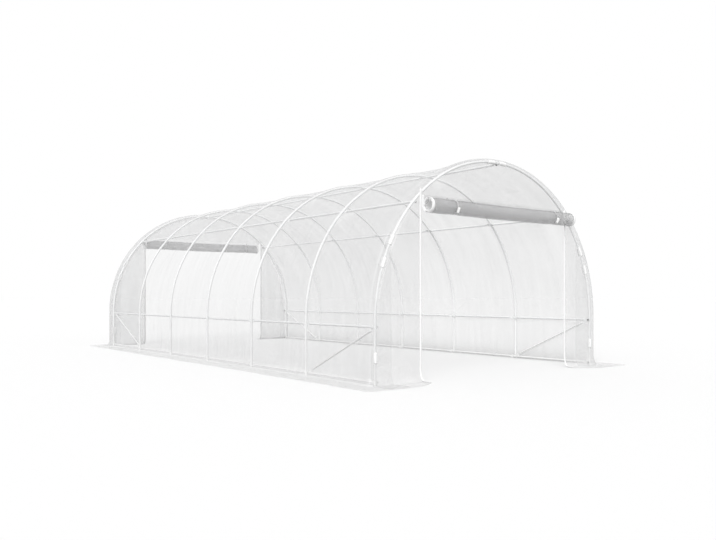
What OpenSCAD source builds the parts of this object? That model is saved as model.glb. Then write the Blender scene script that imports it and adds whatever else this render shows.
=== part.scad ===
// Polytunnel greenhouse: bolted steel hoops, rails and corner braces under one clear film
// cover, with a ground skirt all round and a door rolled up under the arch at each end.
// Millimetres. +X is right, +Y runs from the front door to the rear door, +Z is up, and the
// origin is on the ground at the middle of the tunnel.

/* [Tunnel] */
// Number of bays between the hoops
bays = 6; // [3:1:9]
// Distance from hoop to hoop, centre to centre
bay_l = 1000; // [800:10:1300]
// Outside width of the hoops
hoop_w = 3000; // [2600:10:3600]
// Height of the straight hoop legs
leg_h = 500; // [420:10:800]

/* [Tubes] */
// Outside diameter of the hoop tubes
hoop_d = 25; // [22:0.5:32]
// Outside diameter of the rails and purlins
rail_d = 22; // [18:0.5:26]
// Outside diameter of the corner braces
brace_d = 19; // [16:0.5:22]
// Wall thickness of every tube
tube_wall = 1.2; // [0.8:0.1:2]
// Length of the necked tube end in the next hoop tube
swage_l = 50; // [30:1:70]
// Angle of the roof purlins above the top of the legs
purlin_angle = 45; // [40:1:55]
// Distance of the waist rails' bolts below the top of the legs
waist_drop = 22; // [20:1:120]
// Height of the base rails' bolts
base_z = 24; // [24:1:60]

/* [Pressed tube ends] */
// Flat length of a rail's end, from its bolt
rail_tab_l = 32; // [26:1:45]
// Flat length of a brace's end, from its bolt
brace_tab_l = 68; // [60:1:90]
// Flat length beyond the bolt
tab_over = 14; // [10:1:20]
// Length over which a tube goes from round to flat
taper_l = 30; // [20:1:45]

/* [Cover] */
// Thickness of the film
film_t = 1; // [0.8:0.1:2]
// Width of the ground skirt, from the wall
skirt_w = 270; // [150:5:400]
// Radius of the fold from wall to skirt
fold_r = 30; // [15:1:60]

/* [Doors] */
// Clear width of a door
door_w = 2000; // [1600:10:2200]
// Outside diameter of a rolled-up door
roll_d = 140; // [110:1:170]
// Number of turns in the roll
roll_turns = 4; // [2:0.5:6]
// Open space between two turns of the roll
roll_gap = 3.5; // [2:0.1:5]
// Height of film left hanging above the roll's middle
roll_drop = 90; // [86:1:140]
// Distance from each end of the roll to the door's edge
roll_inset = 5; // [2:1:60]
// Width of a door's zip
zip_w = 22; // [15:1:35]
// Thickness of a door's zip
zip_t = 2.5; // [1.5:0.1:4]
// Length of the zip's foot on the skirt
zip_foot_l = 60; // [30:1:110]

/* [Ties and clips] */
// Width of a tie strap
strap_w = 14; // [8:1:25]
// Thickness of a tie strap
strap_t = 1.5; // [1:0.1:3]
// Height of the strap ends above the door seam
strap_up = 45; // [25:1:80]
// Place of the left tie, from the middle of the door
left_tie_x = -690; // [-850:10:-400]
// Place of the right tie, from the middle of the door
right_tie_x = 790; // [400:10:850]
// Diameter of a tie's toggle
toggle_d = 20; // [12:1:26]
// Length of a tie's toggle
toggle_l = 52; // [30:1:70]
// Place of a toggle round the roll, from the back over the top to the front
toggle_angle = 205; // [185:1:215]
// Length of a film clip along the hoop
clip_l = 88; // [60:1:120]
// Thickness of a film clip
clip_t = 2.5; // [1.5:0.1:4]
// Width of a film clip's flat lips
clip_lip = 7; // [4:0.5:12]
// Height of the middle of a leg clip
leg_clip_z = 228; // [150:1:300]
// Angle of the shoulder clips above the top of the legs
shoulder_clip_angle = 24; // [18:0.5:35]
// Angle between the two clips of a shoulder
shoulder_pair_angle = 8; // [6:0.5:14]
// Angle between the two clips of the ridge
ridge_pair_angle = 6; // [6:0.5:14]

/* [Fits] */
// Clearance between pieces that bear on each other
seat_gap = 0.3; // [0.1:0.05:0.5]
// Radial clearance of a necked end in its socket
swage_gap = 0.2; // [0.1:0.05:0.4]

/* [Hidden] */
tube_fn = 48;                           // facets round a tube
arch_fn = 360;                          // the big arch's circles are drawn finer
$fn = tube_fn;
past = 1;                               // cuts and fused ends run on this far past a face
past_angle = 0.2;                       // the same, along the arch
tab_tuck = 0.4;                         // a pressed flat's share of the taper
tab_neck = 0.84;                        // and its share of the tube's width there
hoop_r = hoop_d / 2;
arch_r = hoop_w / 2 - hoop_r;           // centreline radius of the arch
arc_angle = 45;                         // each arch is four tubes
end_y = bays * bay_l / 2;               // centre plane of the end hoops
waist_z = leg_h - waist_drop;
socket_r = hoop_r - tube_wall;          // bore that takes a necked end
swage_angle = swage_l / arch_r * 180 / PI;
gap_angle = seat_gap / arch_r * 180 / PI;
tab_t = 2 * tube_wall;                  // a tube pressed flat is two walls thick
rail_r = arch_r - hoop_r - seat_gap - tab_t - seat_gap / 2;   // rail axes, inside the hoops
film_u = hoop_r + seat_gap;             // film's inner face, from the tube's centre
film_top = film_u + film_t;             // film's outer face
fold_z = film_t + fold_r;               // where the wall film starts to turn outwards
fold_u = film_top + fold_r;             // where the fold lies flat, from the leg's centre
skirt_u = film_top + skirt_w;           // skirt's outer edge, from the leg's centre
door_half = door_w / 2;
panel_w = arch_r - door_half;           // an end panel, from the leg's centre to the door
door_top = leg_h + sqrt(arch_r * arch_r - door_half * door_half);
roll_r = roll_d / 2;
roll_y = -(end_y + film_u) - roll_r;    // the roll's back lies in the end film's plane
roll_z = door_top - roll_drop;
roll_half = door_half - roll_inset;
roll_pitch = film_t + roll_gap;
roll_steps = 20;                        // straight stretches in one turn of film
tie_steps = 24;                         // straight stretches of a strap round the roll
tie_r = roll_r + seat_gap + strap_t / 2;
tie_top = door_top + strap_up;
tie_front_y = -(end_y + film_top + seat_gap + strap_t / 2);
toggle_seat = 1;                        // depth of a toggle's seat in its strap
toggle_r = roll_r + seat_gap + strap_t + toggle_d / 2 - toggle_seat;
clip_angles = [for (mid = [shoulder_clip_angle, 180 - shoulder_clip_angle], way = [-1, 1])
    mid + way * shoulder_pair_angle / 2];
ridge_clip_angles = [for (way = [-1, 1]) 90 + way * ridge_pair_angle / 2];

HOOP_NAMES = [for (i = [0 : bays]) i == 0 ? "front_hoop" : i == bays ? "rear_hoop" : str("hoop_", i + 1)];

// Finishes: white-coated steel, clear film and white plastic.
module steel() { color([0.93, 0.94, 0.94]) children(); }
module film() { color([0.9, 0.92, 0.93, 0.35]) children(); }
module white_plastic() { color([0.97, 0.97, 0.96]) children(); }

// Children drawn about the arch's centre: their X-Y plane becomes the hoop's plane, and
// angles run from the right-hand leg over the top.
module about_arch(y, from) {
    translate([0, y, leg_h]) rotate([90, 0, 0]) rotate([0, 0, from]) children();
}

// The four corners and two ends are mirror images of the front left one.
module mirrored(right, rear) {
    mirror([right, 0, 0]) mirror([0, rear, 0]) children();
}

module quarter_ring(inner, outer) {
    intersection() {
        difference() {
            circle(outer);
            circle(inner);
        }
        square(outer + past);
    }
}

// A bar bent to the arch, of any radius, between two angles.
module arch_bar(r, from, to) {
    rotate([0, 0, from]) rotate_extrude(angle = to - from, $fn = arch_fn)
        translate([arch_r, 0]) circle(r, $fn = tube_fn);
}

// One arch tube: a socket at its lower end takes the necked end of the tube before it.
module arch_tube(from) {
    difference() {
        arch_bar(hoop_r, from, from + arc_angle - gap_angle);
        arch_bar(socket_r, from - past_angle, from + swage_angle + gap_angle);
    }
}

// The necked end of the tube that stops at this angle, following the next tube's bend.
module arch_neck(at) {
    arch_bar(socket_r - swage_gap, at - gap_angle - past_angle, at - gap_angle + swage_angle);
}

module hoop(y) steel() {
    // right leg, necked at the top to the arch's bend
    translate([arch_r, y, 0]) cylinder(r = hoop_r, h = leg_h - seat_gap);
    about_arch(y, 0) arch_neck(0);
    // left leg, with a straight socket at the top
    translate([-arch_r, y, 0]) difference() {
        cylinder(r = hoop_r, h = leg_h - seat_gap);
        translate([0, 0, leg_h - swage_l - seat_gap]) cylinder(r = socket_r, h = swage_l + past);
    }
    about_arch(y, 0) for (k = [0 : 3]) {
        arch_tube(k * arc_angle);
        if (k < 3) arch_neck((k + 1) * arc_angle);
    }
    // the last arch tube's neck goes straight down into the left leg
    translate([-arch_r, y, leg_h - swage_l]) cylinder(r = socket_r - swage_gap, h = swage_l + past);
}

// A straight tube from bolt to bolt along +X, both ends pressed flat. Each end's flat lies on
// the +Z or -Z side of the tube's middle, so that two tubes lap at one bolt.
module crimped_tube(length, d, tab_l, sides) {
    tab_w = PI * d / 2;
    clear = d / 2 + past;
    flat_lo = [for (s = sides) s > 0 ? seat_gap / 2 : -seat_gap / 2 - tab_t];
    intersection() {
        rotate([0, 90, 0]) cylinder(d = d, h = length);
        rotate([90, 0, 0]) linear_extrude(tab_w, center = true) polygon([
            [tab_l, flat_lo[0]], [tab_l, flat_lo[0] + tab_t], [tab_l + taper_l, clear],
            [length - tab_l - taper_l, clear], [length - tab_l, flat_lo[1] + tab_t],
            [length - tab_l, flat_lo[1]], [length - tab_l - taper_l, -clear],
            [tab_l + taper_l, -clear]]);
    }
    for (end = [0, 1])
        translate([end * length, 0, flat_lo[end]]) mirror([end, 0, 0]) tab_plate(d, tab_w, tab_l);
}

// The flat of a pressed end, with its bolt at the origin and clipped outer corners.
module tab_plate(d, tab_w, tab_l) {
    half = tab_w / 2;
    corner = tab_over / 2;
    inner = tab_l + taper_l * tab_tuck;
    inner_half = d * tab_neck / 2;
    linear_extrude(tab_t) polygon([
        [-tab_over, -half + corner], [-tab_over + corner, -half], [tab_l, -half],
        [inner, -inner_half], [inner, inner_half],
        [tab_l, half], [-tab_over + corner, half], [-tab_over, half - corner]]);
}

// A row of tubes along the tunnel, one to a bay, lapped at their bolts on the hoops' inside.
module rail(x, z, facing) steel() {
    for (i = [0 : bays - 1])
        translate([x, i * bay_l - end_y, z]) rotate([0, 90 - facing, 0]) rotate([0, 0, 90])
            crimped_tube(bay_l, rail_d, rail_tab_l, [1, i == bays - 1 ? 1 : -1]);
}

module roof_purlin(angle) {
    rail(rail_r * cos(angle), leg_h + rail_r * sin(angle), angle);
}

// Corner brace, from the end hoop's waist bolt to the second hoop's foot bolt. Its flats lie on
// the inside of the rails' flats there: one of them above and two below.
module corner_brace(right, rear) steel() {
    drop = waist_z - base_z;
    lean = tab_t + seat_gap;
    run = sqrt(bay_l * bay_l + drop * drop);
    length = sqrt(run * run + lean * lean);
    mirrored(right, rear) translate([-(rail_r - lean), -end_y, waist_z])
        rotate([0, -90, 0]) rotate([0, 0, 90])
            rotate([0, 0, atan2(drop, bay_l)]) rotate([0, asin(lean / length), 0])
                crimped_tube(length, brace_d, brace_tab_l, [1, 1]);
}

// Section of the cover along the tunnel: X is outwards from the tubes' centre, Y is along. At
// both ends it turns down over the end hoop to meet the end panels.
module cover_section() {
    translate([film_u, -end_y]) square([film_t, 2 * end_y]);
    for (rear = [0, 1]) mirror([0, rear]) translate([0, end_y]) quarter_ring(film_u, film_top);
}

module wall_film(right) film() {
    mirrored(right, 0) translate([-arch_r, 0, fold_z]) mirror([1, 0, 0])
        linear_extrude(leg_h - fold_z) cover_section();
}

// The cover over one tube of the arch, counted from the right-hand leg.
module arch_film(k) film() {
    about_arch(0, k * arc_angle) rotate_extrude(angle = arc_angle, $fn = arch_fn)
        translate([arch_r, 0]) cover_section($fn = tube_fn);
}

// A flat sheet in the front end's plane, drawn as its outline in X and Z.
module end_sheet(thickness, y) {
    translate([0, -y, 0]) rotate([90, 0, 0]) linear_extrude(thickness) children();
}

// The end wall's outline above the legs, in X and Z.
module arch_outline() {
    translate([0, leg_h]) circle(arch_r, $fn = arch_fn);
}

// End panel, from the corner leg to the door's edge.
module side_panel(right, rear) film() {
    mirrored(right, rear) end_sheet(film_t, end_y + film_u) {
        translate([-arch_r, fold_z]) square([panel_w, leg_h - fold_z]);
        intersection() {
            arch_outline();
            translate([-arch_r - past, leg_h]) square([panel_w + past, arch_r]);
        }
    }
}

// Arch panel, above the door's seam.
module arch_panel(rear) film() {
    mirrored(0, rear) end_sheet(film_t, end_y + film_u) intersection() {
        arch_outline();
        translate([-arch_r, door_top]) square([2 * arch_r, arch_r]);
    }
}

// Section of the fold from wall to skirt: X is outwards from the leg's centre, Y is up.
module fold_section() {
    translate([fold_u, fold_z]) rotate(180) quarter_ring(fold_r, fold_r + film_t);
}

// Side skirt, with both of its square corners and the folds round the corner legs.
module side_skirt(right) film() mirrored(right, 0) {
    linear_extrude(film_t) difference() {
        translate([-(arch_r + skirt_u), -(end_y + skirt_u)]) square([skirt_u, 2 * (end_y + skirt_u)]);
        translate([-(arch_r + fold_u), -end_y]) square([fold_u + past, 2 * end_y]);
        for (s = [-1, 1]) translate([-arch_r, s * end_y]) circle(fold_u);
    }
    translate([-arch_r, end_y, 0]) rotate([90, 0, 0]) mirror([1, 0, 0])
        linear_extrude(2 * end_y) fold_section();
    for (s = [-1, 1]) translate([-arch_r, s * end_y, 0])
        rotate([0, 0, s < 0 ? 180 : 90]) rotate_extrude(angle = 90) fold_section();
}

// End skirt, from the corner leg to the door's edge.
module end_skirt(right, rear) film() mirrored(right, rear) {
    translate([-arch_r, -(end_y + skirt_u), 0]) cube([panel_w, skirt_u - fold_u, film_t]);
    translate([-arch_r, -end_y, 0]) rotate([90, 0, 90]) mirror([1, 0, 0])
        linear_extrude(panel_w) fold_section();
}

// Turn after turn of door film, wound inwards from the flap that hangs from the seam.
function coil(start_r) = [for (i = [0 : roll_turns * roll_steps])
    let (a = 360 * i / roll_steps, r = start_r - roll_pitch * i / roll_steps)
    [roll_y + r * cos(a), roll_z - r * sin(a)]];

function reversed(list) = [for (i = [len(list) - 1 : -1 : 0]) list[i]];

module door_roll(rear) film() {
    back = roll_y + roll_r;
    mirrored(0, rear) translate([-roll_half, 0, 0]) rotate([90, 0, 90]) linear_extrude(2 * roll_half)
        polygon(concat([[back, door_top]], coil(roll_r), reversed(coil(roll_r - film_t)),
            [[back - film_t, door_top]]));
}

// The zip on one edge of the front door: up the end panel, with a foot turned out on the skirt.
module door_zip() {
    face_y = end_y + film_top;
    end_sheet(zip_t, face_y) intersection() {
        arch_outline();
        translate([-door_half - zip_w, leg_h]) square([zip_w, arch_r]);
    }
    translate([-door_half - zip_w, -face_y - zip_t, fold_z]) cube([zip_w, zip_t, leg_h - fold_z]);
    translate([-door_half - zip_w, -face_y - fold_r, fold_z]) rotate([90, 0, 90])
        linear_extrude(zip_w) rotate(-90) quarter_ring(fold_r - zip_t, fold_r);
    translate([-door_half - zip_w, -face_y - fold_r - zip_foot_l, film_t])
        cube([zip_w, zip_foot_l, zip_t]);
}

module door_zips(rear) white_plastic() {
    for (right = [0, 1]) mirrored(right, rear) door_zip();
}

// Path of a tie strap in Y and Z: down inside the end film, round under the roll and up its
// front, back to the outer face of the arch panel.
function tie_path() = let (
    dy = tie_front_y - roll_y,
    dz = tie_top - roll_z,
    lift = atan2(dz, dy) + acos(tie_r / sqrt(dy * dy + dz * dz)))
    concat(
        [[roll_y + tie_r, tie_top]],
        [for (i = [0 : tie_steps]) let (a = -i * (360 - lift) / tie_steps)
            [roll_y + tie_r * cos(a), roll_z + tie_r * sin(a)]],
        [[tie_front_y, tie_top]]);

function unit(v) = v / norm(v);
function left_of(v) = [-v[1], v[0]];
// A path's points moved sideways, each along the mean normal of the stretches it joins.
function beside(path, d) = [for (i = [0 : len(path) - 1])
    let (before = unit(path[max(i, 1)] - path[max(i, 1) - 1]),
         after = unit(path[min(i + 1, len(path) - 1)] - path[min(i + 1, len(path) - 1) - 1]))
    path[i] + left_of(unit(before + after)) * d];

// A strap round the roll, closed by a toggle on its front.
module door_tie(x) {
    translate([x - strap_w / 2, 0, 0]) rotate([90, 0, 90]) linear_extrude(strap_w)
        polygon(concat(beside(tie_path(), strap_t / 2), reversed(beside(tie_path(), -strap_t / 2))));
    translate([x, roll_y + toggle_r * cos(toggle_angle), roll_z + toggle_r * sin(toggle_angle)])
        rotate([toggle_angle, 0, 0]) cylinder(d = toggle_d, h = toggle_l, center = true);
}

module door_ties(rear) white_plastic() {
    mirrored(0, rear) for (x = [left_tie_x, right_tie_x]) door_tie(x);
}

// Section of a film clip: round the film on the tube, with a lip on each of the two sheets.
module clip_section() {
    inner = film_top + seat_gap;
    quarter_ring(inner, inner + clip_t);
    translate([-clip_lip, inner]) square([clip_lip, clip_t]);
    translate([inner, -clip_lip]) square([clip_t, clip_lip]);
}

// The clips of one end hoop: two at each shoulder, two at the ridge and one on each leg.
module film_clips(rear) white_plastic() mirrored(0, rear) {
    span = clip_l / arch_r * 180 / PI;
    for (a = concat(clip_angles, ridge_clip_angles))
        about_arch(-end_y, a - span / 2) rotate_extrude(angle = span, $fn = arch_fn)
            translate([arch_r, 0]) clip_section($fn = tube_fn);
    for (right = [0, 1]) mirrored(right, 0)
        translate([-arch_r, -end_y, leg_clip_z - clip_l / 2]) rotate([0, 0, 180])
            linear_extrude(clip_l) clip_section();
}

for (i = [0 : bays])
    hoop(i * bay_l - end_y);
roof_purlin(90);  // ridge_purlin
roof_purlin(180 - purlin_angle);  // left_roof_purlin
roof_purlin(purlin_angle);  // right_roof_purlin
rail(-rail_r, waist_z, 180);  // left_waist_rail
rail(rail_r, waist_z, 0);  // right_waist_rail
rail(-rail_r, base_z, 180);  // left_base_rail
rail(rail_r, base_z, 0);  // right_base_rail
corner_brace(0, 0);  // front_left_brace
corner_brace(1, 0);  // front_right_brace
corner_brace(0, 1);  // rear_left_brace
corner_brace(1, 1);  // rear_right_brace
wall_film(0);  // left_wall_film
wall_film(1);  // right_wall_film
arch_film(3);  // left_shoulder_film
arch_film(2);  // left_roof_film
arch_film(1);  // right_roof_film
arch_film(0);  // right_shoulder_film
side_panel(0, 0);  // front_left_panel
side_panel(1, 0);  // front_right_panel
arch_panel(0);  // front_arch_panel
side_panel(0, 1);  // rear_left_panel
side_panel(1, 1);  // rear_right_panel
arch_panel(1);  // rear_arch_panel
side_skirt(0);  // left_skirt
side_skirt(1);  // right_skirt
end_skirt(0, 0);  // front_left_skirt
end_skirt(1, 0);  // front_right_skirt
end_skirt(0, 1);  // rear_left_skirt
end_skirt(1, 1);  // rear_right_skirt
door_roll(0);  // front_door_roll
door_roll(1);  // rear_door_roll
door_zips(0);  // front_door_zips
door_zips(1);  // rear_door_zips
door_ties(0);  // front_door_ties
door_ties(1);  // rear_door_ties
film_clips(0);  // front_film_clips
film_clips(1);  // rear_film_clips
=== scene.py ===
import bpy
import numpy as np
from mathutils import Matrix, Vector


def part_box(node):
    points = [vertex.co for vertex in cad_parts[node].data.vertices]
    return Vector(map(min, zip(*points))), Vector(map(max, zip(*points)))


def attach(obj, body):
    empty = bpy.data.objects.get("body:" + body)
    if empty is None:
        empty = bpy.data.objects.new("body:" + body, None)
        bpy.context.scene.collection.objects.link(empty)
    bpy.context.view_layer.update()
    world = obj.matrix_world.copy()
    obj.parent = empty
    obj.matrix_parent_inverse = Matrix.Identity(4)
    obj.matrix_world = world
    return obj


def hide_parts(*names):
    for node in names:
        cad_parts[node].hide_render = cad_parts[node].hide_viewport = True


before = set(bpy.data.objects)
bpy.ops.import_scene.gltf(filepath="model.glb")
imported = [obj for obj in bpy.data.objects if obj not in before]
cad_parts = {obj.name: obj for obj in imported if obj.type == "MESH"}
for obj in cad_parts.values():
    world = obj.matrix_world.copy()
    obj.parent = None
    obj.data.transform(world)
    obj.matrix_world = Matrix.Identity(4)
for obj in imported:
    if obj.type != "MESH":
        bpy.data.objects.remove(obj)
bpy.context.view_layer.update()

# Viewpoint: a level camera at chest height off the front left corner, so that the legs stay
# upright. The lens is shifted up a little, as the photograph is framed.
view_place = (-5.2643, -7.5696, 0.7366)
view_turn = -38.247
view_lens = 36.521
view_sensor = 36.0
view_shift = 0.0356
lens = bpy.data.cameras.new("viewpoint")
lens.sensor_fit = "HORIZONTAL"
lens.sensor_width = view_sensor
lens.lens = view_lens
lens.shift_y = view_shift
viewpoint = bpy.data.objects.new("viewpoint", lens)
viewpoint.location = view_place
viewpoint.rotation_euler = (np.pi / 2, 0.0, np.radians(view_turn))
bpy.context.scene.collection.objects.link(viewpoint)
bpy.context.scene.camera = viewpoint

# Hoops: seven arches of white powder-coated steel tube, each of two legs and four bent tubes
# pushed together end in end. The paint has a fine orange peel, faint chalky marks, and dust
# that the rain has splashed on the feet.
hoop_names = ["front_hoop", "hoop_2", "hoop_3", "hoop_4", "hoop_5", "hoop_6", "rear_hoop"]
hoop_low, hoop_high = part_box("front_hoop")
tube_r = (hoop_high.y - hoop_low.y) / 2
end_y = -(hoop_high.y + hoop_low.y) / 2
arch_r = hoop_high.x - tube_r
leg_h = hoop_high.z - tube_r - arch_r
hoop_l = 2 * leg_h + np.pi * arch_r
hoop_y = np.linspace(-end_y, end_y, len(hoop_names))
bay_l = hoop_y[1] - hoop_y[0]
paint_white = (0.90, 0.905, 0.905, 1.0)
earth_dust = (0.66, 0.64, 0.60, 1.0)
splash_scale = 38.0
chalk_tone = 0.93
coat_mottle = (0.3, 0.7)
coat_gloss = (-0.06, 0.10)
coat_bump = {"Strength": 0.25, "Distance": 0.0002}


def put(tree, kind, inputs=None, **settings):
    """One shader node: settings are its properties, inputs are values or the sockets that feed it."""
    made = tree.nodes.new("ShaderNode" + kind)
    for key, value in settings.items():
        setattr(made, key, value)
    for key, value in (inputs or {}).items():
        if isinstance(value, bpy.types.NodeSocket):
            tree.links.new(value, made.inputs[key])
        else:
            made.inputs[key].default_value = value
    return made


def worked(tree, operation, *values):
    """The result of one sum on up to three numbers or sockets."""
    return put(tree, "Math", dict(enumerate(values)), operation=operation).outputs[0]


def ranged(tree, value, old, new):
    """A value taken in a straight line from one range to another, and held at its ends."""
    return put(tree, "MapRange", {"Value": value, "From Min": old[0], "From Max": old[1],
                                  "To Min": new[0], "To Max": new[1]}).outputs[0]


def blended(tree, share, first, second):
    """A mix of two colours: inputs 6 and 7 of a Mix node take them, and its output 2 gives the mix."""
    return put(tree, "Mix", {"Factor": share, 6: first, 7: second}, data_type="RGBA").outputs[2]


def noise(tree, place, scale, detail, **more):
    """A cloudy noise about one half."""
    return put(tree, "TexNoise", {"Vector": place, "Scale": scale, "Detail": detail, **more}).outputs[0]


def toned(colour, share):
    """A colour made darker by a share."""
    return tuple(share * part for part in colour[:3]) + (1.0,)


def effect(name, inputs, outputs):
    """An empty shader node group with value inputs, given with their defaults, and value outputs."""
    tree = bpy.data.node_groups.new(name, "ShaderNodeTree")
    for label, default in inputs.items():
        socket = tree.interface.new_socket(label, in_out="INPUT", socket_type="NodeSocketFloat")
        socket.default_value = default
    for label in outputs:
        tree.interface.new_socket(label, in_out="OUTPUT", socket_type="NodeSocketFloat")
    return tree, tree.nodes.new("NodeGroupInput").outputs, tree.nodes.new("NodeGroupOutput").inputs


def grain_effect():
    """Fine bumps and broad mottling of a coated or moulded surface: two noises in object space."""
    tree, given, result = effect("surface_grain", {"Scale": 400.0, "Mottle scale": 6.0},
                                 ["Height", "Mottle"])
    place = put(tree, "TexCoord").outputs["Object"]
    tree.links.new(noise(tree, place, given["Scale"], detail=2.0), result["Height"])
    tree.links.new(noise(tree, place, given["Mottle scale"], detail=5.0), result["Mottle"])
    return tree


def splash_effect():
    """Earth splashed up from the ground: a patchy noise that fades out with height."""
    tree, given, result = effect("earth_splash", {"Height": 0.2, "Amount": 0.5}, ["Mask"])
    place = put(tree, "TexCoord").outputs["Object"]
    level = put(tree, "SeparateXYZ", {"Vector": place}).outputs["Z"]
    fade = ranged(tree, level, (0.0, given["Height"]), (1.0, 0.0))
    patches = noise(tree, place, splash_scale, detail=6.0, Roughness=0.7)
    patchy = worked(tree, "MULTIPLY", patches, fade)
    tree.links.new(worked(tree, "MULTIPLY", patchy, given["Amount"]), result["Mask"])
    return tree


surface_grain = grain_effect()
earth_splash = splash_effect()


def finish_of(name, **values):
    """A new material with one Principled shader, whose plain sockets take the values given."""
    made = bpy.data.materials.new(name)
    made.use_nodes = True
    shader = made.node_tree.nodes["Principled BSDF"]
    for key, value in values.items():
        shader.inputs[key.replace("_", " ")].default_value = value
    return made, made.node_tree, shader.inputs


def coated(name, colour, roughness, grain_scale, splash=0.3):
    """A hard coat or plastic: mottled colour, grain in bump and gloss, and earth near the ground."""
    made, tree, shader = finish_of(name)
    grain = put(tree, "Group", {"Scale": grain_scale}, node_tree=surface_grain).outputs
    dirt = put(tree, "Group", {"Amount": splash}, node_tree=earth_splash).outputs["Mask"]
    faded = blended(tree, grain["Mottle"], colour, toned(colour, chalk_tone))
    dull = ranged(tree, grain["Mottle"], coat_mottle, tuple(roughness + step for step in coat_gloss))
    bump = put(tree, "Bump", {"Height": grain["Height"], **coat_bump})
    tree.links.new(blended(tree, dirt, faded, earth_dust), shader["Base Color"])
    tree.links.new(dull, shader["Roughness"])
    tree.links.new(bump.outputs[0], shader["Normal"])
    return made


def dress(names, material):
    """Packed nodes keep their shape and take a material."""
    for name in names:
        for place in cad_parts[name].material_slots:
            place.material = material


dress(hoop_names, coated("hoop_paint", paint_white, roughness=0.34, grain_scale=900.0))

# Rails, purlins and braces: slimmer tubes in the same white coat, pressed flat at both ends and
# lapped on the inside of the hoops. Handling has left them a little duller than the hoops.
purlin_names = ["ridge_purlin", "left_roof_purlin", "right_roof_purlin"]
rail_names = ["left_waist_rail", "right_waist_rail", "left_base_rail", "right_base_rail"]
brace_names = ["front_left_brace", "front_right_brace", "rear_left_brace", "rear_right_brace"]
rail_white = (0.88, 0.885, 0.885, 1.0)
brace_white = (0.87, 0.875, 0.875, 1.0)
dress(purlin_names + rail_names, coated("rail_paint", rail_white, roughness=0.38, grain_scale=800.0))
dress(brace_names, coated("brace_paint", brace_white, roughness=0.4, grain_scale=800.0))

# Bolts: one coach bolt at each crossing of a rail and a hoop. Its low dome outside and its washer
# and nut inside have the hoops' white coat. On the end hoops the nut is a dark cap, of dull zinc.
zinc_dark = (0.05, 0.05, 0.052, 1.0)
zinc_pale = (0.12, 0.12, 0.12, 1.0)
zinc_gloss = (0.3, 0.6)
head_r = 0.008
head_h = 0.0030
head_sides = 14
dome_turn = 0.48 * np.pi
dome_steps = 5
washer_r = 0.0105
washer_t = 0.0015
nut_r = 0.0070
nut_h = 0.0055
nut_edge = 0.0006
nut_sides = 6
nut_chamfer = 0.85
cap_r = 0.0098
cap_h = 0.0145
bolt_r = 0.003
bolt_end = 0.004
bolt_chamfer = 0.7
tab_t = 0.0024
tab_gap = 0.0003
rail_low, rail_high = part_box("left_waist_rail")
waist_z = (rail_low.z + rail_high.z) / 2
base_low, base_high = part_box("left_base_rail")
base_z = (base_low.z + base_high.z) / 2
purlin_turn = np.radians([45.0, 90.0, 135.0])


def hoop_path(s):
    """Centre line of a hoop, s metres of tube from its left foot: up one leg, half round, down the
    other. Gives X, Z and the outward direction's X and Z."""
    a = np.clip(np.pi - (s - leg_h) / arch_r, 0, np.pi)
    on_leg = np.where(s < leg_h, s, hoop_l - s)
    z = np.where((s < leg_h) | (s > hoop_l - leg_h), on_leg, leg_h + arch_r * np.sin(a))
    return arch_r * np.cos(a), z, np.cos(a), np.sin(a)


def lathe(radii, heights, sides):
    """A profile of radii and heights turned about Z, closed at both ends by a fan to the axis."""
    turn = np.arange(sides) * 2 * np.pi / sides
    ring = np.stack([np.cos(turn), np.sin(turn)], axis=-1)
    level = np.broadcast_to(np.asarray(heights)[:, None, None], (len(radii), sides, 1))
    walls = np.concatenate([np.asarray(radii)[:, None, None] * ring, level], axis=-1)
    poles = np.array([[0, 0, heights[0]], [0, 0, heights[-1]]])
    points = np.concatenate([walls.reshape(-1, 3), poles])
    index = np.arange(len(radii) * sides).reshape(len(radii), sides)
    beside = np.roll(index, -1, axis=1)
    quads = np.stack([index[:-1], beside[:-1], beside[1:], index[1:]], axis=-1).reshape(-1, 4)
    low = np.stack([beside[0], index[0], np.full(sides, index.size)], axis=-1)
    high = np.stack([index[-1], beside[-1], np.full(sides, index.size + 1)], axis=-1)
    return points, [quads, low, high]


def set_out(shape, places, across, along, axis):
    """Copies of a shape, one at each place, with its X, Y and Z laid on three directions there."""
    points, faces = shape
    frames = np.stack(np.broadcast_arrays(across, along, axis), axis=1)
    moved = places[:, None] + points @ np.broadcast_to(frames, (len(places), 3, 3))
    shift = np.arange(len(places))[:, None, None] * len(points)
    return moved.reshape(-1, 3), [(block + shift).reshape(-1, block.shape[1]) for block in faces]


def together(*shapes):
    """Several shapes in one mesh: their points in a row, and their faces counted on."""
    starts = np.cumsum([0] + [len(points) for points, faces in shapes[:-1]])
    points = np.concatenate([points for points, faces in shapes])
    return points, [block + start for (p, faces), start in zip(shapes, starts) for block in faces]


def turned(faces):
    """Faces wound the other way round."""
    return [block[:, ::-1] for block in faces]


def piece(name, shape, material, stands_for=(), uv=None, layers_and_painted_light=None):
    """A mesh object of points and face blocks that rides on the tunnel and may stand for CAD nodes."""
    points, faces = shape
    mesh = bpy.data.meshes.new(name)
    mesh.from_pydata(points.tolist(), [], [row for block in faces for row in block.tolist()])
    if uv is not None:
        corner = np.empty(len(mesh.loops), dtype=np.int32)
        mesh.loops.foreach_get("vertex_index", corner)
        mesh.uv_layers.new(name="UVMap").data.foreach_set("uv", uv[corner].astype(np.float32).ravel())
    if layers_and_painted_light is not None:
        mark = mesh.attributes.new("layers_and_painted_light", "FLOAT", "POINT")
        mark.data.foreach_set("value", layers_and_painted_light.astype(np.float32))
    mesh.shade_smooth()
    made = bpy.data.objects.new(name, mesh)
    made.data.materials.append(material)
    bpy.context.scene.collection.objects.link(made)
    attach(made, "root")
    if stands_for:
        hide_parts(*stands_for)
    return made


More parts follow.
